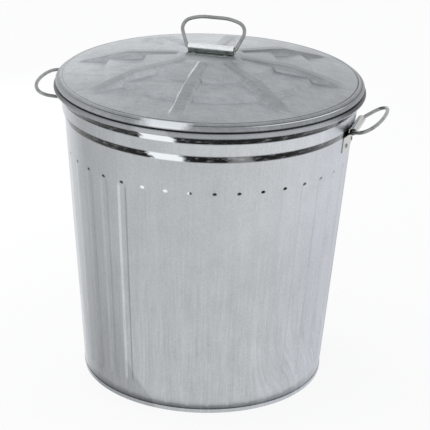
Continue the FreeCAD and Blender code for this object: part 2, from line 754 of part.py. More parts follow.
clip = new_body("lid_strap")
clip_section = new_sketch(clip, "YZ_Plane", "lid_strap_section")
add_outline(clip_section, [
    ("-dims.clip_foot_half_width", "dims.lid_middle_height"),
    ("dims.clip_foot_half_width", "dims.lid_middle_height"),
    ("dims.clip_foot_half_width", foot_top),
    ("dims.clip_neck_half_width", foot_top),
    ("dims.clip_neck_half_width", "dims.lid_pivot_height"),
    ("-dims.clip_neck_half_width", "dims.lid_pivot_height"),
    ("-dims.clip_neck_half_width", foot_top),
    ("-dims.clip_foot_half_width", foot_top)])
clip_pad = clip.newObject("PartDesign::Pad", "lid_strap_length")
clip_pad.Profile = clip_section
clip_pad.Midplane = True
clip_pad.setExpression("Length", "2 * dims.lid_roll_half_length")
add_roll(clip, "lid_strap", ("0", "0", "dims.lid_pivot_height"),
         "dims.lid_roll_half_length", angle="90")

lid_shell = boolean("Part::Cut", "lid_shell", hollow_lid, lid_drill)
lid_clip = boolean("Part::Cut", "lid_clip", clip, lid_drill)

lid_names = {
    "foot": "dims.lid_bend_half_width",
    "foot_bend": "dims.lid_foot_bend",
    "wide": "dims.lid_widest_half_width",
    "wide_reach": "dims.lid_widest_reach",
    "corner_bend": "dims.lid_corner_bend",
    "bar": "dims.lid_bar_half_width",
    "reach": "dims.lid_handle_reach",
    "bar_bend": "dims.lid_bar_bend"}
lid_handle = wire_loop("lid_handle", "XZ_Plane", "YZ_Plane", "",
                       ("0", "dims.lid_pivot_height"), "-dims.lid_handle_lean", lid_names)

# The lid sits on the can turned a little, as it was last put down.
lid_pieces = [lid_shell, lid_edge_wire, lid_collar, lid_clip, lid_rivets, lid_handle]
for piece in lid_pieces:
    turn_about_axis(piece, "dims.lid_turn")


# ------------------------------------------------------------ check and write
doc.recompute()
for item in doc.Objects:
    if "Invalid" in item.State or "Error" in item.State:
        raise RuntimeError("%s failed: %s" % (item.Label, item.State))

can_pieces = [can_wall, rim_wire, base_pan, base_hoop, bracket_right, bracket_left,
              rivets_right, rivets_left, handle_right, handle_left]
os.makedirs("parts", exist_ok=True)
for piece in can_pieces + lid_pieces:
    shape = piece.Shape
    if shape.isNull() or not shape.isValid():
        raise RuntimeError("%s has no valid shape" % piece.Label)
    print("%-16s solids %d  volume %.0f" % (piece.Label, len(shape.Solids), shape.Volume))
    shape.exportStep("parts/%s.step" % piece.Label)
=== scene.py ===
# %% [markdown]
# # A galvanized trash can with a loose lid
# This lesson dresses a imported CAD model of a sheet-metal trash can. The model is loaded
# first and stays where it is. Every new piece is made in metres in the same frame: the
# floor is z = 0, the can's axis is z, and the front of the can faces -y. The CAD solids
# stay underneath for the physics. The large pressed sheets are made again here, because
# their rounded bends and thin edges decide how the metal catches the light.

# %% Load the frame
import bmesh
import bpy
import math
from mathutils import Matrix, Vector


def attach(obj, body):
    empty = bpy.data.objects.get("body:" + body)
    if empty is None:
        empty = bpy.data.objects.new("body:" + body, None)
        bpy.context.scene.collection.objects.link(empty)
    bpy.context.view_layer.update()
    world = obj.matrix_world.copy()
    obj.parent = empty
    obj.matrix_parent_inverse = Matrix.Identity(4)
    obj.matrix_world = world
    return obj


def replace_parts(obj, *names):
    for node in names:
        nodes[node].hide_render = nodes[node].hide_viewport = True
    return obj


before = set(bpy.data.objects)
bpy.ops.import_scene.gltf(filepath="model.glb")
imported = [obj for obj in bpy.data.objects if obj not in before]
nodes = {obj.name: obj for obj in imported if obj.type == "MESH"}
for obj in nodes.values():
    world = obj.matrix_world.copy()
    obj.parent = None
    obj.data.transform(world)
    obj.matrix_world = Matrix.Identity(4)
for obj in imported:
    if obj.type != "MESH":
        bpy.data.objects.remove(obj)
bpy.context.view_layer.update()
print("CAD nodes:", ", ".join(sorted(nodes)))

# %% [markdown]
# ## The camera
# The photograph looks down on the can by about 22 degrees, from a little to the right
# of its front. A long lens keeps the tapered sides nearly straight. The camera's angles
# are its tilt from straight down, a small roll and its turn round the can.

# %% Camera
camera_place = (0.6744, -2.35192, 1.23483)
camera_angles = (67.9334, -1.6618, 16.3587)
photo_camera = bpy.data.cameras.new("photo_camera")
photo_camera.lens = 143.8
photo_camera.sensor_width = 36
camera = bpy.data.objects.new("photo_camera", photo_camera)
bpy.context.collection.objects.link(camera)
camera.location = camera_place
camera.rotation_euler = [math.radians(angle) for angle in camera_angles]
bpy.context.scene.camera = camera
bpy.context.scene.view_settings.view_transform = "Standard"
print("camera stands", round(camera.location.length, 2), "m from the foot of the can")

# %% [markdown]
# ## Small helpers for modelling
# Operators act on whatever is selected, and a freshly loaded model is selected. So each
# piece starts by leaving edit mode and selecting nothing. A chain of edges is drawn the
# way a hand would: one plane is merged to a single point, the point is moved to its
# place, and every further point is extruded from the last.

# %% Helpers
MM = 0.001


def start_clean():
    if bpy.context.mode != "OBJECT":
        bpy.ops.object.mode_set(mode="OBJECT")
    bpy.ops.object.select_all(action="DESELECT")


def draw_chain(name, points):
    """A chain of edges through points in mm, left in edit mode with its end selected."""
    start_clean()
    bpy.ops.mesh.primitive_plane_add(size=0.01)
    bpy.context.object.name = name
    bpy.ops.object.mode_set(mode="EDIT")
    bpy.ops.mesh.select_mode(type="VERT")
    bpy.ops.mesh.select_all(action="SELECT")
    bpy.ops.mesh.merge(type="CENTER")
    places = [Vector(point) * MM for point in points]
    bpy.ops.transform.translate(value=places[0])
    for here, there in zip(places, places[1:]):
        bpy.ops.mesh.extrude_vertices_move(TRANSFORM_OT_translate={"value": there - here})
    return bpy.context.object


def pick(test):
    """In edit mode, select just the vertices whose place passes the test."""
    data = bpy.context.object.data
    mesh = bmesh.from_edit_mesh(data)
    for face in mesh.faces:
        face.select = False
    for edge in mesh.edges:
        edge.select = False
    for vertex in mesh.verts:
        vertex.select = bool(test(vertex.co))
    mesh.select_flush_mode()
    bmesh.update_edit_mesh(data)


def finish_piece(body, smooth=40, outward=None):
    """Close the seams, point the faces out, shade the piece and let it ride."""
    piece = bpy.context.object
    bpy.ops.object.mode_set(mode="EDIT")
    bpy.ops.mesh.select_all(action="SELECT")
    bpy.ops.mesh.remove_doubles(threshold=0.00004)
    bpy.ops.mesh.normals_make_consistent(inside=False)
    bpy.ops.object.mode_set(mode="OBJECT")
    if outward and outward(piece.data) < 0:
        bpy.ops.object.mode_set(mode="EDIT")
        bpy.ops.mesh.flip_normals()
        bpy.ops.object.mode_set(mode="OBJECT")
    bpy.ops.object.shade_smooth_by_angle(angle=math.radians(smooth))
    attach(piece, body)
    return piece


def thicken(piece, thickness, side):
    """Give an open sheet its thickness, on one side, and apply it."""
    sheet = piece.modifiers.new("sheet", "SOLIDIFY")
    sheet.thickness = thickness * MM
    sheet.offset = side
    sheet.use_even_offset = True
    bpy.ops.object.modifier_apply(modifier=sheet.name)


def soften(corners, cut, steps=4):
    """Round the inner corners of a chain, starting a cut before each of them."""
    points = [Vector(corners[0])]
    for before, corner, after in zip(corners, corners[1:], corners[2:]):
        corner = Vector(corner)
        start = corner + (Vector(before) - corner).normalized() * cut
        end = corner + (Vector(after) - corner).normalized() * cut
        for step in range(steps + 1):
            share = step / steps
            points.append(start.lerp(corner, share).lerp(corner.lerp(end, share), share))
    points.append(Vector(corners[-1]))
    return points


def arc(centre, radius, first, last, steps):
    """Points on a circle, from one angle in degrees to another."""
    angles = [first + (last - first) * step / steps for step in range(steps + 1)]
    return [Vector((centre[0] + radius * math.cos(math.radians(a)),
                    centre[1] + radius * math.sin(math.radians(a)))) for a in angles]


print("helpers ready")

# %% [markdown]
# ## The wall of the can
# On the real can the wall is one thin sheet. It tapers, carries 38 long flutes, steps
# outward twice under the rim and is rolled outward round a wire. It could be a cylinder
# with a bump map, but then the outline and the steps would stay flat. Here one flute's
# share of the foot is drawn as an arc, extruded ring by ring up the profile, and scaled
# about the can's axis to each ring's radius. The flute is pressed in, the strip is
# copied round 38 times, and the seams are merged. The thickness comes last.

# %% Wall sizes, in mm
SHEET = 0.8
FLUTES = 38
FOOT_RADIUS, TAPER = 184.9, 0.0763
FLUTE_LOW, FLUTE_HIGH = 35.0, 354.6
FLUTE_RADIUS, FLUTE_AXIS_OUT = 11.8, 10.2


def wall_radius(height):
    """The inside face of the tapered wall."""
    return FOOT_RADIUS + TAPER * height - SHEET


flute_reach = math.sqrt(FLUTE_RADIUS ** 2 - FLUTE_AXIS_OUT ** 2)
end_rows = [flute_reach * part for part in (1.0, 0.94, 0.8, 0.58, 0.3)]
print("a flute is", round(2 * flute_reach, 1), "mm wide")

# %% Wall profile
lower = [(wall_radius(z), z) for z in
         [SHEET] + [FLUTE_LOW - row for row in end_rows] + [FLUTE_LOW, 115, 195, 275]
         + [FLUTE_HIGH] + [FLUTE_HIGH + row for row in reversed(end_rows)] + [380, 402]]
steps_up = soften([(wall_radius(402), 402), (wall_radius(409), 409),
                   (wall_radius(418) + 3, 418), (wall_radius(439) + 3, 439),
                   (224.7, 446), (224.7, 449.6)], cut=1.3)
rim = arc((228.5, 451.6), 4.0, 180, -132, 17)
wall_profile = [Vector(point) for point in lower[:-1]] + steps_up + rim
print(len(wall_profile), "rings up the wall")

# %% One flute's share of the wall, extruded up the profile
half_share = 180 / FLUTES
columns = [0.42, 0.84, 1.22, 1.52, 1.72, 1.95, 2.6, 3.5, half_share]
azimuths = [-c for c in reversed(columns)] + [0.0] + columns
start_radius, start_height = wall_profile[0]
foot = [(start_radius * math.cos(math.radians(a)), start_radius * math.sin(math.radians(a)),
         start_height) for a in azimuths]
wall = draw_chain("can_wall_sheet", foot)
bpy.ops.mesh.select_all(action="SELECT")
for (radius, height), (next_radius, next_height) in zip(wall_profile, wall_profile[1:]):
    bpy.ops.mesh.extrude_region_move(
        TRANSFORM_OT_translate={"value": (0, 0, (next_height - height) * MM)})
    grow = next_radius / radius
    bpy.ops.transform.resize(value=(grow, grow, 1), center_override=(0, 0, 0))
print("wall strip drawn")

# %% Press the flute into the strip
def flute_depth(across, height):
    """How far the round-ended flute is pressed in at a place on the wall."""
    beyond = max(FLUTE_LOW - height, height - FLUTE_HIGH, 0)
    left = FLUTE_RADIUS ** 2 - across ** 2 - beyond ** 2
    return max(math.sqrt(max(left, 0)) - FLUTE_AXIS_OUT, 0)


for ring_radius, ring_height in lower[1:-2]:
    for column in [0.0] + columns:
        depth = flute_depth(ring_radius * math.radians(column), ring_height)
        if depth > 0:
            pick(lambda place: abs(place.z / MM - ring_height) < 0.01 and abs(
                abs(math.degrees(math.atan2(place.y, place.x))) - column) < 0.02)
            shrink = 1 - depth / ring_radius
            bpy.ops.transform.resize(value=(shrink, shrink, 1), center_override=(0, 0, 0))
print("flute pressed", round(flute_depth(0, 200), 2), "mm deep")

# %% Copy the strip round and give it thickness
bpy.ops.mesh.select_all(action="SELECT")
bpy.ops.mesh.spin(steps=FLUTES - 1, dupli=True, angle=math.tau * (FLUTES - 1) / FLUTES,
                  center=(0, 0, 0), axis=(0, 0, 1))
bpy.ops.mesh.select_all(action="SELECT")
bpy.ops.transform.rotate(value=-math.pi / 2, orient_axis="Z", center_override=(0, 0, 0))
bpy.ops.object.mode_set(mode="OBJECT")


def faces_outward(data):
    """Positive if the faces of the lower wall look away from the axis."""
    total = 0
    for face in data.polygons:
        if 0.1 < face.center.z < 0.3:
            total += face.normal.x * face.center.x + face.normal.y * face.center.y
    return total


finish_piece("can", outward=faces_outward)
thicken(wall, SHEET, side=1)
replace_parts(wall, "can_wall")
print("wall faces:", len(wall.data.polygons))

# %% [markdown]
# ## Lock seam and base hoop
# The sheet's two upright edges hook together in a flat seam at the back. The fold's
# section is drawn at the foot and extruded once, up the wall's taper. The foot is bound
# by a folded hoop. A ring with one repeated section is best spun: the closed section is
# drawn once and turned about the can's axis.

# %% Spin a closed section into a ring
def spin_ring(name, section, steps, body):
    ring = draw_chain(name, [(r, 0, z) for r, z in list(section) + [section[0]]])
    bpy.ops.mesh.select_all(action="SELECT")
    bpy.ops.mesh.spin(steps=steps, angle=math.tau, center=(0, 0, 0), axis=(0, 0, 1))
    finish_piece(body)
    return ring


hoop_section = soften([
    (FOOT_RADIUS - 2.4, 7.4), (FOOT_RADIUS - 2.4, 0), (FOOT_RADIUS + 0.8, 0),
    (FOOT_RADIUS + 1.25, 6), (FOOT_RADIUS + 0.3, 6), (FOOT_RADIUS - 0.1, 0.9),
    (FOOT_RADIUS - 1.7, 0.9), (FOOT_RADIUS - 1.3, 7.4)], cut=0.38, steps=3)
hoop = spin_ring("foot_hoop", hoop_section, FLUTES * 6, "can")
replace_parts(hoop, "base_hoop")
print("hoop faces:", len(hoop.data.polygons))

# %% Lock seam strip
seam_azimuth = math.radians(90 + 180 / FLUTES)
seam_low, seam_high = 7.5, 407.5
seam_skin = wall_radius(seam_low) + SHEET
seam_fold = [(-0.4, -4.5), (0.9, -3.9), (1.2, -3.2), (1.2, 3.2), (0.9, 3.9), (-0.4, 4.5)]
seam = draw_chain("lock_seam", [
    (seam_skin + out, across, seam_low) for out, across in seam_fold])
bpy.ops.mesh.select_all(action="SELECT")
bpy.ops.mesh.extrude_region_move(TRANSFORM_OT_translate={"value": (
    (wall_radius(seam_high) - wall_radius(seam_low)) * MM, 0, (seam_high - seam_low) * MM)})
for level in (seam_low, seam_high):
    pick(lambda place: abs(place.z / MM - level) < 0.01)
    bpy.ops.mesh.edge_face_add()
bpy.ops.mesh.select_all(action="SELECT")
bpy.ops.transform.rotate(value=-seam_azimuth, orient_axis="Z", center_override=(0, 0, 0))
bpy.ops.object.mode_set(mode="OBJECT")
folded_edge = seam.modifiers.new("folded_edge", "BEVEL")
folded_edge.width, folded_edge.segments = 0.25 * MM, 3
bpy.ops.object.modifier_apply(modifier=folded_edge.name)
finish_piece("can", smooth=60)
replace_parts(seam, "can_wall")
print("seam faces:", len(seam.data.polygons))

# %% [markdown]
# ## The pressed lid
# The lid is one sheet: a flat middle, three sloping treads with short risers, a flat
# border, a small bead and an edge rolled round a wire. Eight ridges cross the treads and
# widen outward. Operators can't keep rings on the tread corners and columns on the
# widening flanks at once. So one eighth of the lid starts as a flat grid whose points
# are moved by rule, as a press die would move them, and the rest is copies.

# %% Lid profile, from the middle out to the end of the edge roll
LID = 459.996
LID_TURN, RIDGES = 3, 8
RIDGE_PITCH = 360 / RIDGES
lid_corners = [(1.0, 41.5), (46, 41.5), (52, 38.5), (96, 34), (103, 27.5), (152, 22.5),
               (159, 16), (200, 11.2), (207, 10), (220.5, 7.6), (222.2, 8.0),
               (224.2, 6.9)]
lid_line = soften(lid_corners, cut=0.75, steps=4)
lid_roll = arc((225.4, 0), 4.6, 84, -215, 17)
lid_profile = [(r, h + LID) for r, h in lid_line[:-1] + lid_roll]
for extra in (20, 74, 127, 180):
    before = max(i for i, place in enumerate(lid_profile) if place[0] < extra)
    near, far = lid_profile[before], lid_profile[before + 1]
    share = (extra - near[0]) / (far[0] - near[0])
    lid_profile.insert(before + 1, (extra, near[1] + share * (far[1] - near[1])))
print(len(lid_profile), "rings on the lid")

# %% The ridge's width and height at any radius
RIDGE_START, RIDGE_MIDDLE, RIDGE_END, BORDER = 40, 125, 209, 215


def along_ridge(radius, at_start, at_middle, at_end):
    """A size that grows evenly from the ridge's start to its middle and to its end."""
    if radius < RIDGE_MIDDLE:
        share = max(radius - RIDGE_START, 0) / (RIDGE_MIDDLE - RIDGE_START)
        return at_start + share * (at_middle - at_start)
    reach = RIDGE_END - RIDGE_MIDDLE
    return at_middle + min(radius - RIDGE_MIDDLE, reach) / reach * (at_end - at_middle)


def ridge_place(column, radius, height):
    """Where a column of the eighth lies on a ring: its azimuth and its height."""
    half = along_ridge(radius, 6, 8, 10)
    rise = max(along_ridge(radius, 41.3, 34.5, 10) + LID - height, 0) if radius < 212 else 0
    flank = 0.6 * rise + 2.2
    offsets = [0, half * 0.5, half - 1.1]
    offsets += [half - 1.1 + flank * part for part in (0.14, 0.3, 0.5, 0.7, 0.86, 1)]
    if column < len(offsets):
        across = offsets[column]
        share = min(max((across - half + 1.1) / flank, 0), 1)
        lift = rise * (1 - share * share * (3 - 2 * share))
        return across / max(radius, RIDGE_START), height + lift
    first = offsets[-1] / max(radius, RIDGE_START)
    share = (column - len(offsets) + 1) / (HALF_COLUMNS - len(offsets) + 1)
    return first + share * (math.pi / RIDGES - first), height


HALF_COLUMNS = 16
print("ridge is", round(2 * along_ridge(RIDGE_MIDDLE, 6, 8, 10)), "mm wide half way out")

# %% Shape one eighth of the lid from a flat grid
start_clean()
rings = len(lid_profile)
bpy.ops.mesh.primitive_grid_add(x_subdivisions=rings - 1, y_subdivisions=2 * HALF_COLUMNS,
                                size=2)
lid = bpy.context.object
lid.name = "lid_sheet"
for vertex in lid.data.vertices:
    ring = round((vertex.co.x + 1) / 2 * (rings - 1))
    column = round(vertex.co.y * HALF_COLUMNS)
    radius, height = lid_profile[ring]
    if ring < rings - len(lid_roll):
        azimuth, height = ridge_place(abs(column), radius, height)
    else:
        azimuth, _ = ridge_place(abs(column), BORDER, height)
    azimuth = math.copysign(azimuth, column) + math.radians(LID_TURN)
    vertex.co = Vector((radius * math.cos(azimuth), radius * math.sin(azimuth), height)) * MM
print("one eighth has", len(lid.data.vertices), "points")

# %% Copy the eighth round, close the middle, give it thickness
bpy.ops.object.mode_set(mode="EDIT")
bpy.ops.mesh.select_mode(type="VERT")
bpy.ops.mesh.select_all(action="SELECT")
bpy.ops.mesh.spin(steps=RIDGES - 1, dupli=True, angle=math.tau * (RIDGES - 1) / RIDGES,
                  center=(0, 0, 0), axis=(0, 0, 1))
pick(lambda place: math.hypot(place.x, place.y) < 1.2 * MM)
bpy.ops.mesh.merge(type="CENTER")
bpy.ops.object.mode_set(mode="OBJECT")


def faces_upward(data):
    """Positive if the faces above the edge roll look up."""
    above = (LID + 10) * MM
    return sum(face.normal.z for face in data.polygons if face.center.z > above)


finish_piece("lid", outward=faces_upward)
thicken(lid, SHEET, side=-1)
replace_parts(lid, "lid_shell")
print("lid faces:", len(lid.data.polygons))

# %% [markdown]
# ## The lid clip
# A strap of thicker sheet is laid over the bail's wire, pinched together beneath it and
# splayed into two feet that are riveted to the lid. Its section never changes, so it is
# drawn once and extruded along the wire. A strap has a thickness and broken edges, and
# two modifiers give it these: Solidify, then a narrow Bevel on the sharp edges.

# %% Strap finish, shared by the clip and the brackets
STRAP = 1.2


def make_strap(piece):
    thicken(piece, STRAP, side=-1)
    edge = piece.modifiers.new("edge", "BEVEL")
    edge.width = 0.25 * MM
    edge.segments = 2
    edge.limit_method = "ANGLE"
    edge.angle_limit = math.radians(60)
    bpy.ops.object.modifier_apply(modifier=edge.name)
    bpy.ops.object.shade_smooth_by_angle(angle=math.radians(40))
    print(piece.name, "has", len(piece.data.polygons), "faces")


# %% Lid clip
PIVOT = 508.896
foot_skin = PIVOT - 6.2
foot_to_neck = soften([(-14.5, foot_skin), (-3.4, foot_skin), (-2.6, PIVOT - 5.4)],
                      cut=0.7, steps=3)[:-1]
other_foot = [Vector((-y, z)) for y, z in reversed(foot_to_neck)]
clip_line = foot_to_neck + arc((0, PIVOT), 6.0, 244, -64, 24) + other_foot
clip = draw_chain("lid_clip_strap", [(-34.6, y, z) for y, z in clip_line])
bpy.ops.mesh.select_all(action="SELECT")
for step in (4.6, 30, 30, 4.6):
    bpy.ops.mesh.extrude_region_move(TRANSFORM_OT_translate={"value": (step * MM, 0, 0)})
bpy.ops.mesh.select_all(action="SELECT")
bpy.ops.transform.rotate(value=-math.radians(LID_TURN), orient_axis="Z",
                         center_override=(0, 0, 0))


def clip_faces_up(data):
    return sum(face.normal.z for face in data.polygons if face.center.z > PIVOT * MM)


finish_piece("lid", outward=clip_faces_up)
make_strap(clip)
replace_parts(clip, "lid_clip")

# %% [markdown]
# ## The side handle brackets
# Each bracket is a strap riveted flat on the wall. Its upper edge stands out and is
# rolled round the handle's wire. The roll is straight, but the tail lies on a round
# wall. So the section is extruded sideways in short steps, and then, column by column,
# the tail is drawn in by the amount that the round wall falls away there, and spread a
# little wider than the roll.

# %% Bracket section
SIDE_PIN = (226.017, 417.0)
WALL_BEHIND, BRACKET_HALF, TAIL_TOP, SPLAY = 216, 31, 407, 0.06
tail = [(wall_radius(z) + SHEET + STRAP, z) for z in (382, 390, 398, 405)]
bracket_line = soften(tail + [(219.9, 410.2), (223.2, 411.0)], cut=1.2, steps=3)[:-1]
bracket_line += arc(SIDE_PIN, 6.0, -112, 205, 24)
bracket_steps = (3, 5, 7.5, 7.5, 8, 8, 7.5, 7.5, 5, 3)
print("bracket section has", len(bracket_line), "points")

# %% Sweep a bracket and fit its tail to the wall
def add_bracket(name, node, side):
    bracket = draw_chain(name, [(x, -BRACKET_HALF, z) for x, z in bracket_line])
    bpy.ops.mesh.select_all(action="SELECT")
    across = [-BRACKET_HALF]
    for step in bracket_steps:
        bpy.ops.mesh.extrude_region_move(TRANSFORM_OT_translate={"value": (0, step * MM, 0)})
        across.append(across[-1] + step)
    for column in across:
        sagitta = WALL_BEHIND - math.sqrt(WALL_BEHIND ** 2 - column ** 2)
        pick(lambda place: abs(place.y / MM - column) < 0.1 and place.z < TAIL_TOP * MM)
        bpy.ops.transform.translate(value=(-sagitta * MM, SPLAY * column * MM, 0))
    bpy.ops.mesh.select_all(action="SELECT")
    if side < 0:
        bpy.ops.transform.rotate(value=math.pi, orient_axis="Z", center_override=(0, 0, 0))
    finish_piece("can", outward=lambda data: sum(
        face.normal.x * face.center.x for face in data.polygons
        if face.center.z < TAIL_TOP * MM))
    make_strap(bracket)
    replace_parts(bracket, node)
    return bracket


right_bracket = add_bracket("bracket_strap_right", "bracket_right", 1)
left_bracket = add_bracket("bracket_strap_left", "bracket_left", -1)

# %% [markdown]
# ## Side handles
# Each handle is one length of drawn wire, bent by hand round a former, so it has no
# straight runs: it swells from the knuckle to its widest place and closes over the top.
# A chain of edges would show its corners. A Bezier curve with automatic handles runs
# smoothly through a few points, and a bevel depth makes the wire round.

# %% Bend a side handle
WIRE, SIDE_LEAN = 2.7, math.radians(26)
half_loop = [(1, 0), (29, 0), (34.5, 1.6), (45.5, 9.6), (53.5, 18.2), (55.6, 26),
             (51, 33.6), (40, 39.7), (21, 43.9)]
whole_loop = half_loop + [(0, 45)] + [(-across, out) for across, out in reversed(half_loop)]


def bend_handle(name, node, body, side):
    start_clean()
    bpy.ops.curve.primitive_bezier_curve_add(location=(0, 0, 0))
    wire = bpy.context.object
    wire.name = name
    line = wire.data.splines[0]
    line.bezier_points.add(len(whole_loop) - 2)
    for point, (across, out) in zip(line.bezier_points, whole_loop):
        place = Vector((side * (SIDE_PIN[0] + out * math.cos(SIDE_LEAN)), side * across,
                        SIDE_PIN[1] + out * math.sin(SIDE_LEAN))) * MM
        point.co = point.handle_left = point.handle_right = place
        point.handle_left_type = point.handle_right_type = "AUTO"
    wire.data.resolution_u = 8
    wire.data.bevel_depth = WIRE * MM
    wire.data.bevel_resolution = 5
    wire.data.use_fill_caps = True
    bpy.ops.object.convert(target="MESH")
    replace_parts(finish_piece(body, 50), node)
    print(name, "has", len(bpy.context.object.data.polygons), "faces")
    return bpy.context.object


right_wire = bend_handle("side_handle_right", "handle_right", "right_handle", 1)
left_wire = bend_handle("side_handle_left", "handle_left", "left_handle", -1)

# %% [markdown]
# ## Shader maths in plain Python
# A finish is a tree of small nodes, and dragging two hundred of them about is slow to
# read. A Signal wraps one output socket, and sums and products on it add their Math
# nodes. A Finish holds the nodes of one material, or of the sky: its `add` method makes
# any node, with its settings first and then its inputs, which are numbers or Signals.

# %% Signal
class Signal:
    """One output socket that can stand in a sum."""

    def __init__(self, finish, socket):
        self.finish, self.socket = finish, socket

    def output(self, name):
        """Another output of the same node."""
        return Signal(self.finish, self.socket.node.outputs[name])

    def __add__(self, other):
        return self.finish.maths("ADD", self, other)

    def __sub__(self, other):
        return self.finish.maths("SUBTRACT", self, other)

    def __mul__(self, other):
        return self.finish.maths("MULTIPLY", self, other)

    def __rsub__(self, other):
        return self.finish.maths("SUBTRACT", other, self)

    def __truediv__(self, other):
        return self.finish.maths("DIVIDE", self, other)

    __radd__, __rmul__ = __add__, __mul__


print("signals add, subtract, multiply and divide")

# %% Finish
class Finish:
    """The nodes of a material or of the sky, which all come from one method."""

    def __init__(self, owner):
        owner.use_nodes = True
        self.owner, self.tree = owner, owner.node_tree
        self.place = self.add("ShaderNodeTexCoord", output="Object")

    def feed(self, socket, value):
        if isinstance(value, Signal):
            self.tree.links.new(value.socket, socket)
        else:
            socket.default_value = value

    def add(self, kind, settings=None, inputs=None, output=0):
        """Make a node; the setting called stops holds a ramp's places and tones."""
        node = self.tree.nodes.new(kind)
        for name, value in (settings or {}).items():
            if name == "stops":
                self.fill_ramp(node.color_ramp.elements, value)
            else:
                setattr(node, name, value)
        for name, value in (inputs or {}).items():
            self.feed(node.inputs[name], value)
        return Signal(self, node.outputs[output])

    def fill_ramp(self, elements, stops):
        elements.remove(elements[1])
        elements[0].position = stops[0][0]
        for place, _ in stops[1:]:
            elements.new(place)
        for stop, (_, tone) in zip(elements, stops):
            stop.color = tone if isinstance(tone, tuple) else (tone, tone, tone, 1)

    def maths(self, operation, *values):
        return self.add("ShaderNodeMath", {"operation": operation},
                        dict(enumerate(values)))

    def step(self, value, start, end):
        """0 before start, 1 after end, soft between; start may lie after end."""
        return self.add("ShaderNodeMapRange", {"interpolation_type": "SMOOTHSTEP"}, {
            "Value": value, "From Min": start, "From Max": end})

    def band(self, value, low, high, soft):
        """1 between low and high, fading over soft outside them."""
        return self.step(value, low - soft, low) * self.step(value, high + soft, high)

    def stretch(self, place, scale):
        return self.add("ShaderNodeMapping", {}, {"Vector": place, "Scale": scale})

    def point(self, x, y=0.0):
        return self.add("ShaderNodeCombineXYZ", {}, {0: x, 1: y})

    def noise(self, place, scale, detail=3.0, rough=0.55):
        return self.add("ShaderNodeTexNoise", {}, {
            "Vector": place, "Scale": scale, "Detail": detail, "Roughness": rough})

    def blend(self, share, first, second):
        """Mix two colours by a share."""
        return self.add("ShaderNodeMix", {"data_type": "RGBA"},
                        {0: share, 6: first, 7: second}, output=2)


print("finish helper ready")

# %% [markdown]
# ## From patterns to metal
# Every zinc finish ends in the same way: a grey tone is tinted, the surface is fully
# metallic, its roughness varies with the clouds, and a faint bump breaks up the shine.
# One function does that, so that the finishes differ only in their patterns.

# %% Zinc
BLACK = (0, 0, 0, 1)


def linear(grey):
    """A grey of 0 to 255, as a screen shows it, as the amount of light it stands for."""
    return (grey / 255) ** 2.2


def new_zinc(name):
    return Finish(bpy.data.materials.new(name))


def make_metal(zinc, tone, tint, rough, relief, strength, depth_mm):
    """Turn a tone and its patterns into the surface of the metal."""
    shader = zinc.tree.nodes["Principled BSDF"]
    shader.inputs["Metallic"].default_value = 1.0
    zinc.feed(shader.inputs["Base Color"], zinc.blend(tone, BLACK, tint))
    zinc.feed(shader.inputs["Roughness"], rough)
    zinc.feed(shader.inputs["Normal"], zinc.add("ShaderNodeBump", {}, {
        "Strength": strength, "Distance": depth_mm * MM, "Height": relief}))
    return zinc.owner


print("mid grey stands for", round(linear(128), 2), "of the light")

# %% [markdown]
# ## Places on the can
# Nearly every mark on the can depends on how far round it lies and how high. The turn is
# counted in degrees from the front, and starts afresh under the lock seam, where the
# strip hides the join. A short ramp then gives the metal painted light and shade round
# the can: lighter towards the window at the left, darker on the shaded flank beside it.

# %% Turn, radius and height
SEAM_TURN = 180 + 180 / FLUTES
TURN_START, TURN_SPAN = -180, 370


def round_the_can(finish):
    """Turn from the front in degrees, distance from the axis in m, height in mm."""
    x = finish.add("ShaderNodeSeparateXYZ", {}, {0: finish.place})
    y, z = x.output("Y"), x.output("Z")
    ahead = math.radians(SEAM_TURN - 180 - 90)
    across = y * math.cos(ahead) - x * math.sin(ahead)
    along = x * math.cos(ahead) + y * math.sin(ahead)
    turn = finish.maths("ARCTAN2", across, along) * (180 / math.pi) + (SEAM_TURN - 180)
    radius = finish.maths("SQRT", x * x + y * y)
    return turn, radius, z * 1000


def tone_round(finish, turn, stops):
    """Painted light and shade: a broad tone that changes round the can, from (turn, grey)
    stops.
    """
    return finish.add("ShaderNodeValToRGB", {"stops": [
        ((at - TURN_START) / TURN_SPAN, linear(grey)) for at, grey in stops]},
        {0: (turn - TURN_START) / TURN_SPAN})


print("seam lies", round(SEAM_TURN, 1), "degrees round from the front")

# %% [markdown]
# ## Galvanized steel on the wall
# Zinc-coated sheet is a metal with a soft shine: pale grey, slightly blue, clouded where
# the coating froze, with a fine upright grain from the rolling mill. A flat metallic grey
# would look like plastic. So its tone is built in layers that each follow the object:
# painted light and shade round the can, the grain, painted highlights and shade at the
# flutes, painted reflections in the two smooth steps, and painted shade under the lid's
# edge and beside the brackets.

# %% Wall tone: painted light and shade round the can, with a painted shaded side low on the left
# painted light and shade round the wall: a bright window side at the left, a shaded flank
# beside it and a dark line near the right edge
WALL_LIGHT_STOPS = [(-175, 190), (-120, 195), (-80, 225), (-60, 215), (-40, 168), (-15, 187),
              (30, 193), (65, 200), (95, 197), (103, 174), (115, 188), (184, 190)]


def wall_light_and_shade(zinc, turn, height):
    # the edge of the painted shaded side bends round towards the front near the foot
    edge = zinc.step(height, 75, -5) * 15 - 20.5
    shade = zinc.step(turn - edge, 1.2, -1.2) * zinc.step(turn, -62, -50)
    # painted light: the upper right of the wall is a little lighter
    upper_right = zinc.step(height, 210, 330) * zinc.band(turn, 38, 84, 22)
    tone = tone_round(zinc, turn, WALL_LIGHT_STOPS) * (1 + 0.09 * upper_right)
    return tone * (1 - shade * (0.03 + 0.17 * zinc.step(height, 300, 20)))


print("wall tone has", len(WALL_LIGHT_STOPS), "stops")

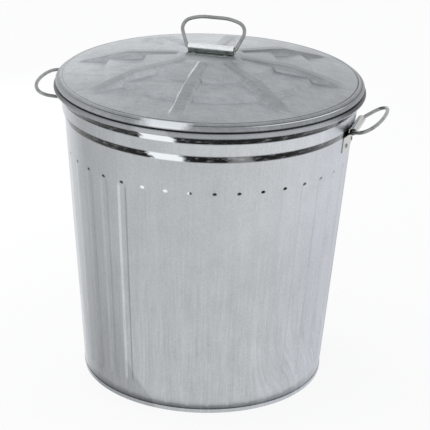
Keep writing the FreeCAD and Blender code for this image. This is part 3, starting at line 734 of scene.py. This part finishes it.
# %% Grain: upright streaks that sweep sideways low on the right
def wall_grain(zinc, turn, height):
    """The grain as a factor of the tone, then three of its patterns alone."""
    sweep = zinc.step(height, 170, 10) * zinc.band(turn, 62, 110, 40)
    across = turn * (math.pi / 180 * 0.2) - sweep * sweep * 0.05
    sheet = zinc.point(across, height * 0.00004)
    grain = zinc.noise(sheet, 330, 4, 0.62)
    streaks = zinc.noise(sheet, 62, 3, 0.5)
    clouds = zinc.noise(zinc.place, 26, 3, 0.6)
    crystals = zinc.noise(zinc.place, 420, 2, 0.6)
    worn = 0.35 + 0.65 * zinc.step(height, 330, 80)
    factor = (1 + (grain - 0.5) * worn * 0.52 + (streaks - 0.5) * worn * 0.3
              + (clouds - 0.5) * 0.22 + (crystals - 0.5) * 0.36)
    return factor, grain, clouds, crystals


print("grain ready")

# %% Flute marks: painted light and shade on the edges, and a painted glint or dark spot at each end
FLUTE_PITCH = 360 / FLUTES
SPOT_RADIUS, SPOT_HEIGHT = 212, 360


def add_flute_light_and_shade(zinc, tone, turn, height):
    phase = (zinc.maths("FRACT", turn / FLUTE_PITCH + 0.5) - 0.5) * FLUTE_PITCH
    pressed = zinc.band(height, 44, 350, 12)
    # painted highlight on one edge of each flute and painted shade on the other, on the left
    lit = zinc.band(turn, -58, -17, 3) * pressed * (0.4 + 0.6 * zinc.step(turn, -26, -22))
    tone = tone * (1 + lit * 0.36 * zinc.band(phase, -2.1, -1.3, 0.4)
                   - lit * 0.3 * zinc.band(phase, 1.5, 1.9, 0.45))
    # painted reflection at each flute's rounded top end: a glint at the front, a dark spot
    # elsewhere
    away, rise = phase * math.radians(SPOT_RADIUS), (height - SPOT_HEIGHT) * 1.25
    dimple_reflection = zinc.step(away * away + rise * rise, 16, 3)
    front = zinc.band(turn, -12, 9.1, 0.5)
    glance = zinc.noise(zinc.point(turn * 0.035), 1, 1)
    faint = 0.8 * zinc.band(turn, 90, 120, 40)
    tone = tone * (1 - dimple_reflection * (1 - front) * (0.5 + 0.9 * glance) * (1 - faint))
    return tone + dimple_reflection * front * 0.55


print("flute pitch", round(FLUTE_PITCH, 2), "degrees")

# %% Painted reflections in the two smooth steps: a dark room, and one bright window of it
def add_step_painted_reflections(zinc, tone, turn, height):
    """The tone with painted reflections in its steps, then where the steps and the window
    lie.
    """
    lower_step = zinc.band(height, 409.4, 417.2, 2.6)
    upper_step = zinc.band(height, 438.0, 445.2, 2.2)
    steps = lower_step + upper_step
    # painted reflection: the steps mirror a dark room with a bright window in it
    room = zinc.noise(zinc.point(turn * 0.1, height * 0.07), 2.6, 3, 0.7)
    ragged = turn + (room - 0.5) * 7 + (height - 414) * 0.12
    window = zinc.band(ragged, -4.6, 5.4, 3) + zinc.band(turn, -115, -66, 16) * 0.7
    dark = (0.012 + 0.14 * zinc.step(room, 0.5, 0.7) + 0.17 * zinc.band(turn, 90, 120, 45)
            + 0.2 * lower_step * zinc.band(ragged, 25, 31, 3))
    painted_reflection = dark * (1 - window) + window * 0.95
    # painted highlight: a lighter band between the steps on the front right
    tone = tone * (1 + 0.1 * zinc.band(height, 421, 434, 4) * zinc.band(turn, 5, 60, 10))
    return tone * (1 - steps) + steps * painted_reflection, steps, window


print("steps ready")

# %% Painted shade under the lid's edge and beside the brackets
def add_painted_shade(zinc, tone, turn, height, window):
    # painted shade under the lid's edge, less under the painted window
    tone = tone * (1 - 0.3 * zinc.step(height, 447.2, 449) * (1 - window * 0.8))
    # painted shade on the rim's roll under the lid, at the sides
    sides = zinc.step(turn, -35, -60) + zinc.step(turn, 55, 80)
    tone = tone * (1 - 0.8 * sides * zinc.step(height, 450.8, 452))
    # painted shadow: each bracket hides the sky from the wall beside it
    beside, above = (zinc.maths("ABSOLUTE", turn) - 81) * 3.8, height - 418
    shadow = zinc.step(beside * beside + above * above * 0.8, 200, 10)
    return tone * (1 - 0.62 * shadow)


print("shade ready")

# %% Wall zinc
def make_wall_zinc():
    zinc = new_zinc("zinc_wall")
    turn, _, height = round_the_can(zinc)
    factor, grain, clouds, crystals = wall_grain(zinc, turn, height)
    tone = wall_light_and_shade(zinc, turn, height) * factor
    tone = add_flute_light_and_shade(zinc, tone, turn, height)
    tone, steps, window = add_step_painted_reflections(zinc, tone, turn, height)
    tone = add_painted_shade(zinc, tone, turn, height, window)
    cold = 0.35 + 0.65 * zinc.band(turn, 85, 115, 55)
    tint = zinc.blend(cold, (0.962, 1.0, 1.012, 1), (0.948, 0.99, 1.065, 1))
    rough = (0.3 + 0.16 * clouds) * (1 - steps) + steps * 0.2
    return make_metal(zinc, tone, tint, rough, grain * 0.7 + crystals * 0.5, 0.22, 0.6)


zinc_wall = make_wall_zinc()
for piece in (wall, seam, hoop):
    piece.data.materials.append(zinc_wall)
print("wall finish has", len(zinc_wall.node_tree.nodes), "nodes")

# %% [markdown]
# ## The lid's zinc
# The lid was pressed from duller sheet. It is a little darker and more clouded than the
# wall, with rubbed streaks across the treads. Its tone also carries painted light and
# shade round the lid, and a painted highlight and painted shade on the ridges. The ridges
# repeat, so their marks are worked out from the distance to the nearest one.

# %% Lid ridges: painted shade on top and along some sides, a painted highlight on the left flank
def ridge_light_and_shade(zinc, turn, radius):
    """The ridges' painted light and shade, as a factor of the tone."""
    nearest = zinc.maths("FRACT", (turn - LID_TURN) / RIDGE_PITCH + 0.5) - 0.5
    aside = nearest * math.radians(RIDGE_PITCH) * radius
    half = 0.005 + radius * 0.022
    along = zinc.band(radius, 0.055, 0.19, 0.015)
    # painted highlight on the flank towards the left, strongest on the front ridges
    flank = zinc.band(aside + half, -0.0032, -0.0002, 0.0012) * along
    # painted shade along one side of the ridges on the left and at the back right
    dull = (zinc.band(aside - half, -0.001, 0.005, 0.0012) * zinc.band(turn, -100, -66, 8)
            + zinc.band(aside + half, -0.005, 0.001, 0.0012) * zinc.band(turn, 120, 150, 6))
    # painted shade on the ridge crowns
    shaded_crown = zinc.step(aside * aside, 0.0001, 0.00004) * along
    return (1 + flank * (0.9 * zinc.band(turn, -8, 14, 4) - 0.12)
            - shaded_crown * 0.17 - dull * along * 0.22)


print("ridges lie", RIDGE_PITCH, "degrees apart")

# %% Lid edge: painted shade in the creases beside the roll and under it, and a painted window on top
def add_lid_edge_light_and_shade(zinc, tone, turn, radius, height, blots):
    # painted shade in the creases beside the roll
    crease_shade = (zinc.band(radius, 0.2192, 0.2206, 0.0009)
              + zinc.band(radius, 0.2256, 0.2262, 0.0006))
    crease_shade = crease_shade * (0.2 + 0.45 * zinc.band(turn, -25, 100, 30))
    # the roll is darker, with painted shade under it
    roll = zinc.step(radius, 0.2225, 0.2235)
    under = zinc.step(height, 459, 456.5) * roll
    tone = tone * (1 - crease_shade) * (1 - 0.26 * roll) * (1 - 0.45 * under)
    # painted reflection of a bright window on the roll's top
    window = zinc.band(turn + (blots - 0.5) * 8, -4, 5, 6) * zinc.step(height, 457.6, 461)
    window = window * roll
    # painted highlight along the roll's upper edge on the front right
    shine = zinc.band(radius, 0.2268, 0.2276, 0.0006) * zinc.band(turn, 38, 66, 12)
    tone = tone * (1 - window) + window * 0.88
    return tone * (1 - shine) + shine * 0.85


print("lid edge ready")

# %% Lid zinc
# painted light and shade round the lid: lighter at the left and the back, darker at the right
LID_LIGHT_STOPS = [(-175, 210), (-85, 205), (-50, 188), (-10, 182), (30, 175), (100, 170),
             (140, 185), (184, 205)]


def make_lid_zinc():
    zinc = new_zinc("zinc_lid")
    turn, radius, height = round_the_can(zinc)
    clouds = zinc.noise(zinc.place, 11, 4, 0.62)
    blots = zinc.noise(zinc.place, 55, 3, 0.6)
    crystals = zinc.noise(zinc.place, 420, 2, 0.6)
    rubbed = zinc.noise(zinc.stretch(zinc.place, (22, 260, 30)), 1, 3, 0.6)
    tone = tone_round(zinc, turn, LID_LIGHT_STOPS) * (
        1 + (clouds - 0.5) * 0.5 + (blots - 0.5) * 0.46 + (crystals - 0.5) * 0.5
        + (rubbed - 0.5) * 0.4)
    tone = tone * ridge_light_and_shade(zinc, turn, radius)
    tone = add_lid_edge_light_and_shade(zinc, tone, turn, radius, height, blots)
    tint = zinc.blend(clouds, (0.962, 1.0, 1.02, 1), (0.95, 0.995, 1.035, 1))
    return make_metal(zinc, tone, tint, 0.34 + 0.2 * blots,
                      blots * 0.8 + crystals * 0.4, 0.25, 0.6)


zinc_lid = make_lid_zinc()
lid.data.materials.append(zinc_lid)
print("lid finish has", len(zinc_lid.node_tree.nodes), "nodes")

# %% [markdown]
# ## Wire, straps and rivets
# The handles are drawn wire, galvanized after bending: clouded, with small dark pits.
# The straps are thicker and shinier. The rivets are dull and a little green. They differ
# in a few numbers only, so one function makes them all.

# %% Plain zinc for the small parts
def make_small_zinc(name, grey, tint, rough, mottle):
    zinc = new_zinc(name)
    clouds = zinc.noise(zinc.place, 90, 3, 0.6)
    pits = zinc.noise(zinc.place, 700, 3, 0.65)
    tone = (1 - mottle + mottle * (clouds + pits)) * linear(grey)
    return make_metal(zinc, tone, tint, rough + 0.2 * clouds, pits + clouds, 0.3, 0.4)


zinc_wire = make_small_zinc("zinc_wire", 154, (0.99, 1, 0.99, 1), 0.2, 0.9)
zinc_rivet = make_small_zinc("zinc_rivet", 128, (0.95, 1, 0.96, 1), 0.3, 0.6)
zinc_inner = make_small_zinc("zinc_inner", 176, (0.95, 1, 1.03, 1), 0.32, 0.4)
zinc_strap = make_small_zinc("zinc_strap", 200, (1, 1, 0.98, 1), 0.24, 0.3)
print("four small finishes")

# %% Give the small parts their finish
small_nodes = {
    "lid_handle": zinc_wire, "rim_wire": zinc_wire, "lid_edge_wire": zinc_wire,
    "rivets_right": zinc_rivet, "rivets_left": zinc_rivet, "lid_clip_rivets": zinc_rivet,
    "base_pan": zinc_inner, "lid_collar": zinc_inner}
for name, zinc in small_nodes.items():
    for slot in nodes[name].material_slots:
        slot.material = zinc
for piece, zinc in ((right_wire, zinc_wire), (left_wire, zinc_wire),
                    (right_bracket, zinc_strap), (left_bracket, zinc_strap)):
    piece.data.materials.append(zinc)
print("finished:", ", ".join(small_nodes))

# %% Clip zinc: a painted reflection, bright on top, and painted shade beneath
def make_clip_zinc():
    zinc = new_zinc("zinc_clip")
    _, _, height = round_the_can(zinc)
    clouds = zinc.noise(zinc.place, 130, 3, 0.6)
    # painted reflection of the sky on the top, painted shade beneath
    top = zinc.step(height + clouds * 2, PIVOT + 0.6, PIVOT + 3.2)
    tone = (0.24 + 0.26 * clouds) * (1 - top) + top * (0.8 + 0.3 * clouds)
    tint = zinc.blend(top, (0.93, 1, 0.97, 1), (0.97, 0.99, 1, 1))
    return make_metal(zinc, tone, tint, 0.2 + 0.16 * clouds, clouds, 0.2, 0.4)


clip.data.materials.append(make_clip_zinc())
print("clip finish ready")

# %% [markdown]
# ## Floor and light
# The can stands on a plain white floor. Metal has no colour of its own but what stands
# round it, so the floor and the sky light it here. The sky is white at the horizon and
# greyer higher up, which gives the lid its tone. The floor shines white for the camera
# and for reflections, and still takes a soft shadow. The lamps only light that floor:
# seen in the lid they would be hard white patches, so reflections leave them out.

# %% Floor
start_clean()
bpy.ops.mesh.primitive_plane_add(size=14, location=(0, 0, 0))
floor = bpy.context.object
floor.name = "studio_floor"
ground = Finish(bpy.data.materials.new("studio_white"))
paint = ground.tree.nodes["Principled BSDF"]
paint.inputs["Base Color"].default_value = (0.9, 0.9, 0.9, 1)
paint.inputs["Roughness"].default_value = 0.9
paint.inputs["Specular IOR Level"].default_value = 0.0
seen = ground.add("ShaderNodeLightPath", output="Is Camera Ray")
rays = seen + seen.output("Is Glossy Ray") + seen.output("Is Transmission Ray")
mixed = ground.add("ShaderNodeMixShader", {}, {
    0: rays * 0.86, 1: Signal(ground, paint.outputs[0]), 2: ground.add("ShaderNodeEmission")})
ground.feed(ground.tree.nodes["Material Output"].inputs["Surface"], mixed)
floor.data.materials.append(ground.owner)
print("floor is", round(floor.dimensions.x), "m wide")

# %% Sky
sky = Finish(bpy.data.worlds.new("studio_sky"))
bpy.context.scene.world = sky.owner
upward = sky.add("ShaderNodeSeparateXYZ", {}, {0: sky.place.output("Generated")}).output("Z")
sky_colour = sky.add("ShaderNodeValToRGB", {"stops": [
    (0.06, (1, 1, 1, 1)), (0.7, (0.84, 0.85, 0.87, 1))]}, {0: upward})
light = sky.tree.nodes["Background"]
light.inputs["Strength"].default_value = 1.0
sky.feed(light.inputs["Color"], sky_colour)
print("sky ready")

# %% Lamps
def add_lamp(name, place, aim, width, watts):
    start_clean()
    bpy.ops.object.light_add(type="AREA", location=place)
    lamp = bpy.context.object
    lamp.name = name
    lamp.data.size = width
    lamp.data.energy = watts
    lamp.rotation_euler = (Vector(aim) - Vector(place)).to_track_quat("-Z", "Y").to_euler()
    lamp.visible_camera = False
    lamp.visible_glossy = False
    print(name, watts, "W")


add_lamp("soft_box_left", (-2.2, -0.6, 1.9), (0, 0, 0.3), 3, 9)
add_lamp("rim_left", (-1.15, 0.75, 0.42), (0, 0, 0.22), 0.8, 5)
